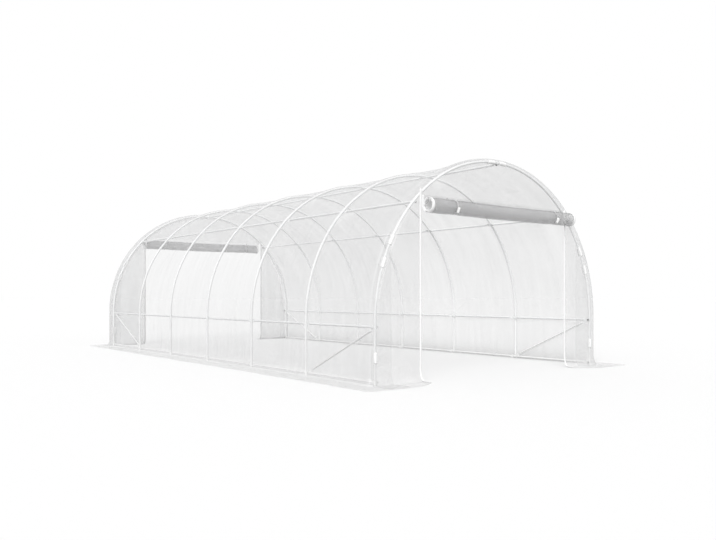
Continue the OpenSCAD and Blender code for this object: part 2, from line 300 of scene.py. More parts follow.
def bolts():
    """Domes on the hoops' outside, and washers with nuts on the tabs inside, at seven places on each hoop.
    A washer sits on as many flat ends as meet there: one at an end hoop, two elsewhere, and a brace's.
    Gives the white set, and the cap nuts of the end hoops."""
    s = np.r_[base_z, waist_z, leg_h + arch_r * purlin_turn, hoop_l - waist_z, hoop_l - base_z]
    x, z, nx, nz = hoop_path(s)
    hoop, spot = (a.ravel() for a in np.indices((len(hoop_y), len(s))))
    from_end = np.minimum(hoop, len(hoop_y) - 1 - hoop)
    from_foot = np.minimum(spot, len(s) - 1 - spot)
    braced = ((from_end == 0) & (from_foot == 1)) | ((from_end == 1) & (from_foot == 0))
    flats = np.where(from_end == 0, 1, 2) + braced
    seat = -(tube_r + flats * (tab_gap + tab_t))[:, None]
    places = np.stack([x[spot], hoop_y[hoop], z[spot]], axis=-1)
    axis = np.stack([nx[spot], 0 * nx[spot], nz[spot]], axis=-1)
    along = np.array([[0.0, 1.0, 0.0]])
    across = np.cross(along, axis)
    dome = np.linspace(0.0, dome_turn, dome_steps)
    head = lathe(np.r_[head_r, head_r * np.cos(dome)], np.r_[-tab_t, head_h * np.sin(dome)], head_sides)
    nut_face = nut_chamfer * nut_r
    nut_radii = np.r_[nut_face, nut_r, nut_r, nut_face, bolt_r, bolt_r, bolt_chamfer * bolt_r]
    nut_depths = np.cumsum([washer_t, nut_edge, nut_h - 2 * nut_edge, nut_edge, 0, bolt_end, nut_edge])
    nut = lathe(nut_radii, -nut_depths, nut_sides)
    washer = lathe([washer_r, washer_r], [0, -washer_t], head_sides)
    cap_depths = -np.r_[washer_t, cap_h * (1 + np.sin(dome)) / 2]
    cap = lathe(np.r_[cap_r, cap_r * np.cos(dome)], cap_depths, head_sides)
    ends = from_end == 0

    def inside(shape, which):
        """Copies of a shape on the flat ends inside the hoops, at the places that are marked."""
        points, faces = shape
        seats = (places + seat * axis)[which]
        return set_out((points, turned(faces)), seats, across[which], along, axis[which])

    white = together(set_out(head, places + tube_r * axis, across, along, axis),
                     inside(washer, from_end >= 0), inside(nut, ~ends))
    return white, inside(cap, ends)


def weathered_zinc():
    """Zinc plate: a patchy grey metal, with grain in its gloss."""
    made, tree, shader = finish_of("weathered_zinc", Metallic=0.5)
    grain = put(tree, "Group", {"Scale": 1500.0, "Mottle scale": 120.0}, node_tree=surface_grain).outputs
    tree.links.new(blended(tree, grain["Mottle"], zinc_dark, zinc_pale), shader["Base Color"])
    tree.links.new(ranged(tree, grain["Mottle"], (0.0, 1.0), zinc_gloss), shader["Roughness"])
    return made


white_bolts, cap_nuts = bolts()
bolt_paint = coated("bolt_paint", paint_white, roughness=0.36, grain_scale=900.0)
piece("frame_bolts", white_bolts, bolt_paint)
piece("cap_nuts", cap_nuts, weathered_zinc())

# Cover: one sheet of clear film over both sides and the roof. It lies on the hoops and sinks a
# little between them, stands off each end hoop in a loose rim that turns over to the end wall, and
# runs out on the ground as a skirt with a hem and square corners.
film_grey = (0.56, 0.56, 0.565, 1.0)
# White of doubled film, also used for painted highlights, glints and the skirt's and roll's painted light.
doubled_film_and_highlight_white = (0.92, 0.92, 0.92, 1.0)
film_t = 0.0004
film_lift = 0.0070
rim_r = 0.014
rim_foot = 0.053
rim_crown = 0.016
rim_reach = 0.60
rim_pale = 0.12
sag_least = 0.010
sag_more = 0.010
ripple = 0.0016
fold_h = 0.105
fold_w = 0.045
hem_share = 0.07
# Painted light: the skirt and its fold are whitened as if lit by the white ground beneath.
skirt_painted_light = 0.5
skirt_lift = 0.0035
skirt_wave = 0.0030
skirt_ragged = 0.006
skirt_least = 0.0006
bay_steps = 20
arch_steps = 190
rim_steps = 9
fold_steps = 9
skirt_steps = 8
skirt_near = 0.82
skirt_fade = 3
hem_step = 0.03
sag_cycles = 8
skirt_waves = (8, 6, (0.5, 2.5), (0.5, 2.5))
ripple_waves = (3, 9, (0.1, 0.7), (1.0, 4.5))
ragged_waves = (5, 5, (0, 0.4), (0.2, 1.6))
least_share = 1e-6
streak_draw = (1.0, 0.12, 1.0)
# Creases: they bump the film, and their whitening of the film is a painted glint.
crease_glint_turn = (0.0, 0.0, 1.15)
crease_glint_draw = (1.0, 0.4, 1.0)
crease_glint_scale = 5.0
crease_glint_soft = (0.0, 0.2)
film_ior = 1.7
haze_noise = (0.6, 1.4)
haze_share = (0.72, 1.28)
film_gloss = (0.14, 0.32)
film_bump = {"Strength": 0.3, "Distance": 0.004}
edge_blend = 0.22
edge_power = 3.0
edge_haze = 0.35
light_passed = 0.7
splash_h = 0.3
skirt_u = -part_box("left_skirt")[0].x - arch_r


def waves(a, b, seed, count, a_range, b_range):
    """A sum of sine waves over (a, b), of random phase and of spatial frequencies within two ranges."""
    draw = np.random.default_rng(seed)
    fa = draw.uniform(*a_range, count)
    fb = draw.uniform(*b_range, count) * draw.choice([-1, 1], count)
    phase = draw.uniform(0, 2 * np.pi, count)
    a, b = np.broadcast_arrays(a, b)
    return np.sin(2 * np.pi * (a[..., None] * fa + b[..., None] * fb) + phase).sum(-1) / np.sqrt(count)


def rim_rise(nz):
    """How far the film stands off an end hoop's tube: from the legs' value to the crown's, by the third
    power of the outward direction's Z."""
    return rim_foot + (rim_crown - rim_foot) * nz ** 3


def foot_line():
    """Across the skirt from its edge to the wall: share of the skirt's width, outward reach and height
    of the fold, which is a quarter of an ellipse, and how full the film looks: most at the doubled
    hem, and half as much over the rest of the skirt and the fold, which is painted light."""
    hem_and_painted_light = hem_share * np.array([1 - hem_step, 1 + hem_step])
    share = np.r_[1.0, 1 - hem_and_painted_light, np.linspace(skirt_near, 0.0, skirt_steps)]
    bend = np.linspace(np.pi / 2, 0.0, fold_steps)[1:]
    out = np.r_[np.full(len(share), fold_w), fold_w * (1 - np.cos(bend))]
    height = np.r_[np.zeros(len(share)), fold_h * (1 - np.sin(bend))]
    fade = np.cos(np.linspace(0, np.pi / 2, len(bend)))
    full = np.r_[1, 1, np.full(len(share) - 2, skirt_painted_light), skirt_painted_light * fade]
    return np.r_[share, np.zeros(len(bend))], out, height, full


def skirt_height(x, y, share):
    """How far the skirt lies off the ground: faint waves, which fade out towards the fold."""
    wave = skirt_wave * waves(x, y, *skirt_waves) * np.minimum(1, skirt_fade * share)
    return np.maximum(skirt_lift + wave, skirt_least) * (share > 0)


def grid_faces(rows, columns):
    """Quads between the points of a rows by columns grid, counted row by row."""
    k = np.arange(rows * columns).reshape(rows, columns)
    return np.stack([k[:-1, :-1], k[:-1, 1:], k[1:, 1:], k[1:, :-1]], axis=-1).reshape(-1, 4)


def cover_sheet():
    """The cover on a grid: rows go along the tunnel, from the front rim's weld over the hoops to the
    rear rim's weld, and each rim is a quarter turn. Columns go from the left skirt's edge over the arch
    to the right skirt's edge."""
    share, out, rise, full = foot_line()
    wall = np.linspace(fold_h, hoop_l - fold_h, arch_steps)[1:-1]
    blank = np.zeros(len(wall))
    s = np.r_[np.full(len(share), fold_h), wall, np.full(len(share), hoop_l - fold_h)]
    share, out, full = (np.r_[a, blank, a[::-1]] for a in (share, out, full))
    on_foot = np.r_[rise < fold_h, blank > 0, rise[::-1] < fold_h]
    rise = np.r_[rise, blank, rise[::-1]]
    rim_bend = np.linspace(0, np.pi / 2, rim_steps)[1:]
    between = np.linspace(-end_y, end_y, bay_steps * (len(hoop_y) - 1) + 1)
    y = np.r_[np.full(len(rim_bend), -end_y), between, np.full(len(rim_bend), end_y)][:, None]
    bend = np.r_[rim_bend[::-1], np.zeros(len(between)), rim_bend][:, None]
    ahead = rim_r * np.sin(bend)
    x0, z0, nx, nz = hoop_path(s)
    bay = (y + end_y) / bay_l
    belly = 4 * (bay - np.floor(bay)) * (1 - (bay - np.floor(bay)))
    sag = sag_least + sag_more * (1 - np.cos(sag_cycles * np.arctan2(nz, nx))) / 2
    sunk = belly * (sag + ripple * waves(s, y, *ripple_waves)) * (out == 0)
    from_end = end_y - np.abs(y)
    lift = film_lift + (rim_rise(nz) - film_lift) * np.clip(1 - from_end / rim_reach, 0, 1) ** 2
    outward = tube_r + lift - rim_r * (1 - np.cos(bend)) - sunk
    reach = np.minimum((skirt_u - outward) / np.maximum(np.cos(bend), least_share),
                       (skirt_u - ahead) / np.maximum(np.sin(bend), least_share))
    ragged = skirt_ragged * waves(s, y, *ragged_waves)
    flare = out + share * (reach + ragged - fold_w)
    x = x0 + nx * (outward + flare * np.cos(bend))
    along = y + np.sign(y) * (ahead + flare * np.sin(bend))
    z = np.where(on_foot, rise + skirt_height(x, along, share), z0 + nz * outward)
    points = np.stack([x, along, z], axis=-1)
    v = s + np.where(s < hoop_l / 2, -1, 1) * (out + share * (skirt_u - fold_w))
    uv = np.stack(np.broadcast_arrays(y + np.sign(y) * bend * rim_r, v), axis=-1)
    layers_and_painted_light = np.maximum(full, rim_pale * np.sin(bend))
    return (points.reshape(-1, 3), [grid_faces(*points.shape[:2])]), uv.reshape(-1, 2), layers_and_painted_light.ravel()


def streak_effect():
    """Drawn film: long faint streaks, cloudy patches and a few creases, from noises on the sheet's own
    metres. The creases bump the film, and their mask is also used for painted glints."""
    tree, given, result = effect("film_streaks", {"Streaks": 9.0, "Clouds": 1.3, "Smooth": 0.6},
                                 ["Haze", "Crease glint", "Height"])
    flat = put(tree, "UVMap").outputs[0]
    drawn = put(tree, "Mapping", {"Vector": flat, "Scale": streak_draw}).outputs[0]
    turned_flat = put(tree, "Mapping", {"Vector": flat, "Rotation": crease_glint_turn}).outputs[0]
    slant = put(tree, "Mapping", {"Vector": turned_flat, "Scale": crease_glint_draw}).outputs[0]
    lines = noise(tree, drawn, given["Streaks"], detail=4.0, Distortion=0.2)
    cloud = noise(tree, flat, given["Clouds"], detail=3.0)
    folds = noise(tree, slant, crease_glint_scale, detail=4.0, Distortion=0.5)
    crease_glint = ranged(tree, worked(tree, "SUBTRACT", folds, given["Smooth"]), crease_glint_soft, (0.0, 1.0))
    tree.links.new(worked(tree, "ADD", lines, cloud), result["Haze"])
    tree.links.new(crease_glint, result["Crease glint"])
    tree.links.new(worked(tree, "ADD", lines, crease_glint), result["Height"])
    return tree


film_streaks = streak_effect()


def clear_film(name, haze, full_haze, splash, smooth, grey=film_grey):
    """Clear plastic film: its opacity is a streaky haze, more and whiter where the film is doubled, and
    more and whiter too where painted light lies on it: glints on creases, the highlight along the end
    hoops, the skirt and the roll's inner turns. It is also more where the film is seen along its surface.
    The gloss is raised to make up for what the opacity takes away, and most of the light that falls on
    the film passes."""
    made, tree, shader = finish_of(name, IOR=film_ior)
    streak = put(tree, "Group", {"Smooth": smooth}, node_tree=film_streaks).outputs
    # This attribute marks doubled film and painted light: the end walls' highlight, the skirt and the
    # roll's inner turns.
    layers_and_painted_light = put(tree, "Attribute", attribute_name="layers_and_painted_light").outputs["Fac"]
    splashed = {"Height": splash_h, "Amount": splash}
    dirt = put(tree, "Group", splashed, node_tree=earth_splash).outputs["Mask"]
    # Painted glint: the crease mask whitens the film as doubled film does.
    full = worked(tree, "MAXIMUM", layers_and_painted_light, streak["Crease glint"])
    thin = ranged(tree, streak["Haze"], haze_noise, tuple(share * haze for share in haze_share))
    thick = worked(tree, "MULTIPLY_ADD", full, full_haze, thin)
    facing = put(tree, "LayerWeight", {"Blend": edge_blend}).outputs["Facing"]
    edge_on = worked(tree, "POWER", facing, edge_power)
    grown = worked(tree, "MULTIPLY_ADD", edge_on, edge_haze, thick)
    soiled = worked(tree, "MINIMUM", worked(tree, "ADD", grown, dirt), 1.0)
    shadow = put(tree, "LightPath").outputs["Is Shadow Ray"]
    passed = worked(tree, "MULTIPLY_ADD", shadow, -light_passed, 1.0)
    colour = blended(tree, dirt, blended(tree, full, grey, doubled_film_and_highlight_white), earth_dust)
    bump = put(tree, "Bump", {"Height": streak["Height"], **film_bump})
    tree.links.new(colour, shader["Base Color"])
    tree.links.new(worked(tree, "MULTIPLY", soiled, passed), shader["Alpha"])
    tree.links.new(ranged(tree, streak["Haze"], haze_noise, film_gloss), shader["Roughness"])
    tree.links.new(bump.outputs[0], shader["Normal"])
    return made


def thicken(sheet_piece, thickness):
    """A sheet gets its thickness, half on each side of the surface it was drawn on."""
    solid = sheet_piece.modifiers.new("thickness", "SOLIDIFY")
    solid.thickness = thickness
    solid.offset = 0.0


cover_shape, cover_uv, cover_layers_and_painted_light = cover_sheet()
cover_nodes = ["left_wall_film", "left_shoulder_film", "left_roof_film", "right_roof_film",
               "right_shoulder_film", "right_wall_film", "left_skirt", "right_skirt"]
cover_film = clear_film("cover_film", haze=0.142, full_haze=0.12, splash=0.06, smooth=0.65)
cover = piece("film_cover", cover_shape, cover_film, cover_nodes, cover_uv, cover_layers_and_painted_light)
thicken(cover, film_t)

# End walls: at each end a sheet on each side of the door, from the corner leg to the zip, with a
# skirt of its own, and a sheet in the arch above the door. They are welded to the cover's rim, lie
# on the end hoop and hang in faint upright folds. Over the shoulders a painted highlight whitens
# them along the hoop.
panel_lift = 0.0008
panel_fold = 0.0022
panel_least = 0.0006
fold_fade = 0.08
stand_fade = 0.03
seam_edge = 0.003
seam_pale = 0.3
skirt_short = 0.12
skirt_taper = 0.30
# Painted highlight on the end walls along the hoop over the shoulders: its strength, height, reach and
# place across the tube.
painted_highlight_strength = 1.8
highlight_z = 1.0
highlight_reach = 0.45
highlight_in = 0.014
highlight_half = 0.020
door_half = -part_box("front_left_panel")[1].x
door_shift = {"front": (-0.010, 0.035), "rear": (0.008, 0.0)}
door_edge = {end: tuple(door_half + step for step in door_shift[end]) for end in door_shift}
roll_low, roll_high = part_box("front_door_roll")
door_top = roll_high.z
end_seed = {"front": 21, "rear": 31}
wall_rows = 64
wall_columns = np.r_[np.linspace(0, 0.24, 18), np.linspace(0.27, 1, 27)]
wall_waves = (9, (0.8, 5.5), (0.05, 0.6))
edge_waves = (4, (0.3, 2.0), (0, 1))
arch_columns = 110
arch_rows = np.r_[0, 0.03, np.linspace(0.07, 0.97, 22), 1]
seam_share = 0.04
weld_share = 0.98
weld_steps = 400


def weld_off(nz):
    """How far outside the end hoop's centre line the rim's turn ends and the end wall begins."""
    return tube_r + rim_rise(nz) - rim_r


def stand(x, z, seed):
    """How far an end wall's film stands out from the end hoop's plane: it lies on the tube, is rippled by
    hanging folds away from it, and meets the rim at the weld, as a bell curve."""
    up = np.maximum(z - leg_h, 0)
    far = np.hypot(x, up)
    free = 1 - np.exp(-((arch_r - far) / fold_fade) ** 2)
    folds = panel_fold * waves(x, z, seed, *wall_waves)
    rest = tube_r + panel_lift + free * np.maximum(folds, -panel_least)
    inward = np.maximum(arch_r + weld_off(up / far) - far, 0)
    return rest + (rim_r - rest) * np.exp(-(inward / stand_fade) ** 2)


def weld_line(s):
    """The weld of cover and end wall, along the hoop: X and Z where the rim's turn ends."""
    x0, z0, nx, nz = hoop_path(s)
    return x0 + nx * weld_off(nz), z0 + nz * weld_off(nz)


def weld_reach(x):
    """Where the weld's left half crosses the upright line at -x, in metres along the hoop."""
    s = np.linspace(leg_h, hoop_l / 2, weld_steps)
    return np.interp(-x, weld_line(s)[0], s)


def side_wall(edge, seed, painted_highlight):
    """Front left end wall on a grid: rows go from the skirt's edge in, up the fold and up the wall to
    where the arch meets the zip. Columns go from the weld to the door's edge. A painted highlight
    whitens the film as a bell curve across the hoop's tube and in height."""
    share, out, rise, full = foot_line()
    wall = np.linspace(fold_h, weld_reach(edge + seam_edge), wall_rows)[1:]
    blank = np.zeros(len(wall))
    s = np.r_[np.full(len(share), fold_h), wall][:, None]
    on_foot = np.r_[rise < fold_h, blank > 0][:, None]
    share, out, rise, full = (np.r_[a, blank][:, None] for a in (share, out, rise, full))
    edge_x, edge_z = weld_line(s)
    x = edge_x + wall_columns * (-edge - edge_x)
    proud = stand(x, edge_z, seed)
    between = (wall_columns > 0) & (wall_columns < 1)
    ragged = skirt_ragged * waves(x, 0 * x, seed + 1, *edge_waves) * between
    short = skirt_short * np.clip(1 + (x + door_half) / skirt_taper, 0, 1) ** 2
    flare = out + share * (skirt_u + ragged - short - proud - fold_w)
    y = -(end_y + proud + flare)
    z = np.where(on_foot, rise + skirt_height(x, y, share), edge_z)
    uv = np.stack([x, np.where(on_foot, fold_h - flare, s)], axis=-1).reshape(-1, 2)
    # Painted highlight: a bell curve across the hoop's tube and in height whitens the film here.
    beside = arch_r - highlight_in - np.hypot(x, np.maximum(edge_z - leg_h, 0))
    highlight = np.exp(-(beside / highlight_half) ** 2 - ((edge_z - highlight_z) / highlight_reach) ** 2)
    layers_and_painted_light = np.maximum(full, painted_highlight * highlight)
    return np.stack([x, y, z], axis=-1), uv, layers_and_painted_light.ravel()


def arch_wall(left, right, seed):
    """Front arch wall on a grid: columns go round the weld from zip to zip, rows up to it from the
    door's seam."""
    ends = weld_reach(left - seam_edge), hoop_l - weld_reach(right - seam_edge)
    edge_x, edge_z = weld_line(np.linspace(*ends, arch_columns))
    foot = np.minimum(door_top, edge_z - seam_edge)
    up = arch_rows[:, None]
    z = foot + (edge_z - foot) * up
    x = edge_x + 0 * z
    layers_and_painted_light = np.where(up > weld_share, rim_pale, seam_pale * (up < seam_share)) + 0 * x
    points = np.stack([x, -(end_y + stand(x, z, seed)), z], axis=-1)
    return points, np.stack([x, z], axis=-1).reshape(-1, 2), layers_and_painted_light.ravel()


def at_corner(shape, right, rear):
    """A shape drawn for the front left, mirrored to the right side or the rear end or both."""
    points, faces = shape
    moved = points.reshape(-1, 3) * np.array([-1 if right else 1, -1 if rear else 1, 1])
    return moved, turned(faces) if right != rear else faces


def grid_shape(points):
    """The points of a grid, with the faces between them."""
    return points.reshape(-1, 3), [grid_faces(*points.shape[:2])]


end_film = {"front": clear_film("front_film", haze=0.080, full_haze=0.14, splash=0.06, smooth=0.55),
            "rear": clear_film("rear_film", haze=0.23, full_haze=0.12, splash=0.06, smooth=0.60)}
for end in ("front", "rear"):
    for side, edge in zip(("left", "right"), door_edge[end]):
        points, uv, layers_and_painted_light = side_wall(edge, end_seed[end], painted_highlight_strength)
        shape = at_corner(grid_shape(points), side == "right", end == "rear")
        wall = piece(f"{end}_{side}_wall", shape, end_film[end],
                     [f"{end}_{side}_panel", f"{end}_{side}_skirt"], uv, layers_and_painted_light)
        thicken(wall, film_t)
    points, uv, layers_and_painted_light = arch_wall(*door_edge[end], end_seed[end])
    shape = at_corner(grid_shape(points), False, end == "rear")
    wall = piece(f"{end}_arch_wall", shape, end_film[end], [f"{end}_arch_panel"], uv, layers_and_painted_light)
    thicken(wall, film_t)

# Corner flaps: a second strip of film beside each corner leg, cut straight up its inner edge and
# welded on the end wall, where the clips and the ground pull hardest.
flap_w = {"front": (0.165, 0.265), "rear": (0.110, 0.110)}
flap_lift = 0.0010
flap_film = clear_film("flap_film", haze=0.07, full_haze=0.12, splash=0.06, smooth=0.60)
for end in ("front", "rear"):
    cuts = [side_wall(arch_r - width, end_seed[end], painted_highlight=0.0) for width in flap_w[end]]
    cuts = [(points + (0, -flap_lift, flap_lift), uv, layers_and_painted_light) for points, uv, layers_and_painted_light in cuts]
    halves = [at_corner(grid_shape(cut[0]), k == 1, end == "rear") for k, cut in enumerate(cuts)]
    uv, layers_and_painted_light = (np.concatenate([cut[k] for cut in cuts]) for k in (1, 2))
    flap = piece(f"{end}_corner_flaps", together(*halves), flap_film, uv=uv, layers_and_painted_light=layers_and_painted_light)
    thicken(flap, film_t)

# Zips: a white coil zip up each door edge, sewn on the end wall from the ground to the hoop, with
# its foot turned out over the skirt and its slider parked at the top.
zip_white = (0.95, 0.95, 0.95, 1.0)
zip_w = 0.022
zip_tape_t = 0.0009
zip_bead_w = 0.0034
zip_bead_h = 0.0026
zip_pitch = 0.005
zip_foot_l = 0.060
zip_foot_lift = 0.0095
zip_lift = 0.0008
slider_z = 1.40
slider_l = 0.022
pull_l = 0.046
pull_proud = 0.005
slider_half = (0.007, 0.0045)
pull_half = (0.0045, 0.0016)
bar_end = 0.12
bar_steps = 9
bar_sides = 12
tooth_mean = 0.75
tooth_steps = 4
zip_columns = 11
zip_steps = (300, 40, 30)
thread_tone = 0.94
thread_gloss = (0.75, 0.55)


def carried(path, across, profile):
    """A closed profile of (sideways, outward) points carried along a path. Sideways is a fixed
    direction, and outward is square to it and to the path. Both ends are closed by a flat face."""
    ahead = np.gradient(path, axis=0)
    ahead /= np.linalg.norm(ahead, axis=-1, keepdims=True)
    outward = np.cross(ahead, across)
    profile = np.broadcast_to(profile, (len(path), *np.shape(profile)[-2:]))
    points = path[:, None] + profile[..., :1] * np.asarray(across) + profile[..., 1:] * outward[:, None]
    rows, sides = points.shape[:2]
    k = np.arange(rows * sides).reshape(rows, sides)
    beside = np.roll(k, -1, axis=1)
    quads = np.stack([k[:-1], k[1:], beside[1:], beside[:-1]], axis=-1).reshape(-1, 4)
    return points.reshape(-1, 3), [quads, k[:1], k[-1:, ::-1]]


def even_path(path, step):
    """A path's points set out again at even steps along it, and their distances from its start."""
    far = np.r_[0, np.cumsum(np.linalg.norm(np.diff(path, axis=0), axis=-1))]
    even = np.arange(0, far[-1], step)
    return np.stack([np.interp(even, far, line) for line in path.T], axis=-1), even


def zip_line(zip_x, seed):
    """Path of the front left zip's middle: down the end wall from the weld, round the fold and out on
    the skirt, with four points to a tooth."""
    wall_steps, bend_steps, foot_steps = zip_steps
    z = np.linspace(weld_line(weld_reach(-zip_x))[1], fold_h, wall_steps)
    y = end_y + stand(np.full(len(z), zip_x), z, seed)
    bend = np.linspace(0, np.pi / 2, bend_steps)[1:]
    foot = np.linspace(0, zip_foot_l, foot_steps)[1:]
    y = np.r_[y, y[-1] + fold_w * (1 - np.cos(bend)), y[-1] + fold_w + foot]
    z = np.r_[z, fold_h * (1 - np.sin(bend)) + zip_foot_lift * np.sin(bend), zip_foot_lift + 0 * foot]
    path = np.stack([np.full(len(y), zip_x), -y - zip_lift, z], axis=-1)
    return even_path(path, zip_pitch / tooth_steps)


def zip_strip(zip_x, seed):
    """The zip's tape with a ridge of teeth: the ridge is a bell curve across and a wave along."""
    path, far = zip_line(zip_x, seed)
    side = np.linspace(-1, 1, zip_columns) * zip_w / 2
    teeth = tooth_mean + (1 - tooth_mean) * np.cos(2 * np.pi * far / zip_pitch)[:, None]
    top = zip_tape_t + zip_bead_h * teeth * np.exp(-(side / zip_bead_w) ** 2)
    profile = np.stack([np.broadcast_to(side, top.shape), top], axis=-1)
    back = np.broadcast_to([[side[-1], 0.0], [side[0], 0.0]], (len(path), 2, 2))
    return carried(path, (1.0, 0.0, 0.0), np.concatenate([profile, back], axis=1))


def oval(sides):
    """Points round a circle of radius 1."""
    ring = np.arange(sides) * 2 * np.pi / sides
    return np.stack([np.cos(ring), np.sin(ring)], axis=-1)


def slider(zip_x, seed):
    """The zip's slider and its hanging pull: two rounded bars carried down the wall's face."""
    face = -(end_y + stand(np.array(zip_x), np.array(slider_z), seed) + zip_tape_t + zip_bead_h)
    swell = np.sin(np.linspace(bar_end, np.pi - bar_end, bar_steps))[:, None, None] ** 0.5
    hinge = slider_z - slider_l / 2
    bars = []
    for high, low, proud, half in ((slider_z, slider_z - slider_l, 0.0, slider_half),
                                   (hinge, hinge - pull_l, pull_proud, pull_half)):
        z = np.linspace(high, low, len(swell))
        path = np.stack([np.full(len(z), zip_x), np.full(len(z), face - proud), z], axis=-1)
        bars.append(carried(path, (1.0, 0.0, 0.0), oval(bar_sides) * swell * np.array(half)))
    return together(*bars)


def woven(name, colour, thread):
    """Close-woven tape: a plain weave of two crossed waves in bump and shade."""
    made, tree, shader = finish_of(name, Sheen_Weight=0.15)
    place = put(tree, "TexCoord").outputs["Object"]
    warp, weft = (put(tree, "TexWave", {"Vector": place, "Scale": thread, "Distortion": 0.6},
                      bands_direction=way).outputs[1] for way in "XZ")
    cross = worked(tree, "MULTIPLY", warp, weft)
    dirt = put(tree, "Group", {"Height": 0.25, "Amount": 0.15}, node_tree=earth_splash).outputs["Mask"]
    shade = blended(tree, cross, toned(colour, thread_tone), colour)
    bump = put(tree, "Bump", {"Height": cross, "Strength": 0.4, "Distance": 0.0004})
    tree.links.new(blended(tree, dirt, shade, earth_dust), shader["Base Color"])
    tree.links.new(ranged(tree, cross, (0.0, 1.0), thread_gloss), shader["Roughness"])
    tree.links.new(bump.outputs[0], shader["Normal"])
    return made


zip_tape = woven("zip_tape", zip_white, thread=320.0)
for end in ("front", "rear"):
    strips = [together(zip_strip(-edge, end_seed[end]), slider(-edge, end_seed[end]))
              for edge in door_edge[end]]
    halves = [at_corner(strip, k == 1, end == "rear") for k, strip in enumerate(strips)]
    piece(f"{end}_zips", together(*halves), zip_tape, [f"{end}_door_zips"])

# Rolled-up doors: each door's film hangs from the arch wall's seam and is wound up into a loose
# roll, its turns showing as a spiral at the ends. The ties nip it, and it bows a little between.
# The door's half of the zip runs up both edges, so the turns end in white tape.
# Painted shade: the door's film is a darker grey than the cover's, for the shade inside the rolled layers.
door_painted_shade_grey = (0.265, 0.265, 0.27, 1.0)
roll_span = {"front": (-0.967, 1.030), "rear": (-1.000, 0.960)}
roll_half = roll_high.x
roll_r = (roll_high.y - roll_low.y) / 2
roll_y = (roll_high.y + roll_low.y) / 2
roll_z = roll_low.z + roll_r
roll_turns = 4
roll_pitch = 0.0045
roll_bow = 0.006
roll_crease = 0.0011
flap_wave = 0.002
tie_x = np.array([-0.67, 0.73])
nip_depth = 0.004
nip_reach = 0.05
tape_w = 0.020
tape_over = 0.002
tape_t = 0.0024
roll_seed = {"front": 41, "rear": 51}
roll_waves = (8, (4.0, 13.0), (0.2, 1.6))
flap_waves = (6, (0.5, 4.0), (0, 0.4))
flap_steps = 9
turn_steps = 34
roll_columns = 110
tape_columns = 5
# Painted light: the roll's inner turns are whitened as if more light reached inside the roll.
painted_light_turns = 2
bow_even = 0.6


def nip(x):
    """How hard the ties nip the roll: a bell curve about each tie."""
    return np.exp(-((x[..., None] - tie_x) / nip_reach) ** 2).sum(-1)


def hang(x, drop, end):
    """How far the front door's flap lies from the end hoop's plane, from the seam (drop = 0) to the
    roll's back (drop = 1): it falls off from the arch wall's stand as a cube."""
    back = -roll_y - end_y - roll_r + nip_depth * nip(x)
    seam = stand(x, np.full(np.shape(x), door_top), end_seed[end])
    return back + (seam - back) * (1 - drop) ** 3


def wound(x, end):
    """The front door's film on a grid: columns go along the roll, rows from the seam down the flap and
    round a spiral whose radius falls by one pitch a turn, with creases that run along the roll."""
    seed = roll_seed[end]
    drop = np.linspace(0, 1, flap_steps)[:-1, None]
    turn = np.linspace(0, 2 * np.pi * roll_turns, turn_steps * roll_turns)[:, None]
    creases = roll_crease * waves(turn * roll_r, x, seed, *roll_waves) * np.minimum(turn, 1)
    r = roll_r - roll_pitch * turn / (2 * np.pi) + creases - nip_depth * nip(x)
    bow = bow_even + (1 - bow_even) * np.cos(np.pi * x / roll_half)
    middle = roll_z - roll_bow * (1 - nip(x)) * bow
    ripples = flap_wave * waves(x, drop, seed + 1, *flap_waves) * drop * (1 - drop)
    y = np.concatenate([-end_y - hang(x, drop, end) + ripples, roll_y + r * np.cos(turn)])
    z = np.concatenate([door_top + (middle - door_top) * drop, middle - r * np.sin(turn)])
    far = np.concatenate([drop * (door_top - roll_z), door_top - roll_z + turn * roll_r])
    # Painted light: the inner turns get the white of doubled film.
    hem_and_painted_light = np.concatenate([0 * drop, turn > 2 * np.pi * (roll_turns - painted_light_turns)])
    points = np.stack([x + 0 * y, y, z], axis=-1)[:, ::-1]
    uv = np.stack([x + 0 * far, far + 0 * x], axis=-1)[:, ::-1].reshape(-1, 2)
    return points, uv, (hem_and_painted_light + 0 * x).ravel()


door_film = clear_film("door_film", haze=0.12, full_haze=0.05, splash=0.0, smooth=0.66, grey=door_painted_shade_grey)
for end in ("front", "rear"):
    points, uv, layers_and_painted_light = wound(np.linspace(*roll_span[end], roll_columns), end)
    shape = at_corner(grid_shape(points), False, end == "rear")
    roll = piece(f"{end}_rolled_door", shape, door_film, [f"{end}_door_roll"], uv, layers_and_painted_light)
    thicken(roll, film_t)
    left, right = roll_span[end]
    edges = [(left - tape_over, left + tape_w), (right - tape_w, right + tape_over)]
    bands = [grid_shape(wound(np.linspace(*edge, tape_columns), end)[0]) for edge in edges]
    shape = at_corner(together(*bands), False, end == "rear")
    tapes = piece(f"{end}_roll_tapes", shape, zip_tape)
    thicken(tapes, tape_t)

# Ties: two slim straps hold up each roll. Each comes down from the seam behind the door's flap,
# goes round under the roll to tuck in over its top, and is closed in front by a white toggle.
strap_grey = (0.55, 0.55, 0.555, 1.0)
strap_w = 0.014
strap_t = 0.0012
strap_gap = 0.0009
strap_clear = 0.0016
strap_round = np.radians(280.0)
strap_steps = 60
strap_sides = 16
strap_edge = np.array([0.4, 0.7])
strap_drop = np.linspace(0.05, 0.9, 8)
strap_pace = strap_w / 4
toggle_white = (0.95, 0.95, 0.945, 1.0)
toggle_l = 0.050
toggle_r = 0.0120
toggle_seat = 0.002
toggle_turn = np.radians(205.0)
toggle_sides = 20
toggle_along = np.array([0.0, 0.03, 0.08, 0.15, 0.28, 0.40])
toggle_wide = np.array([0.45, 0.72, 0.92, 1.0, 0.97, 0.93])


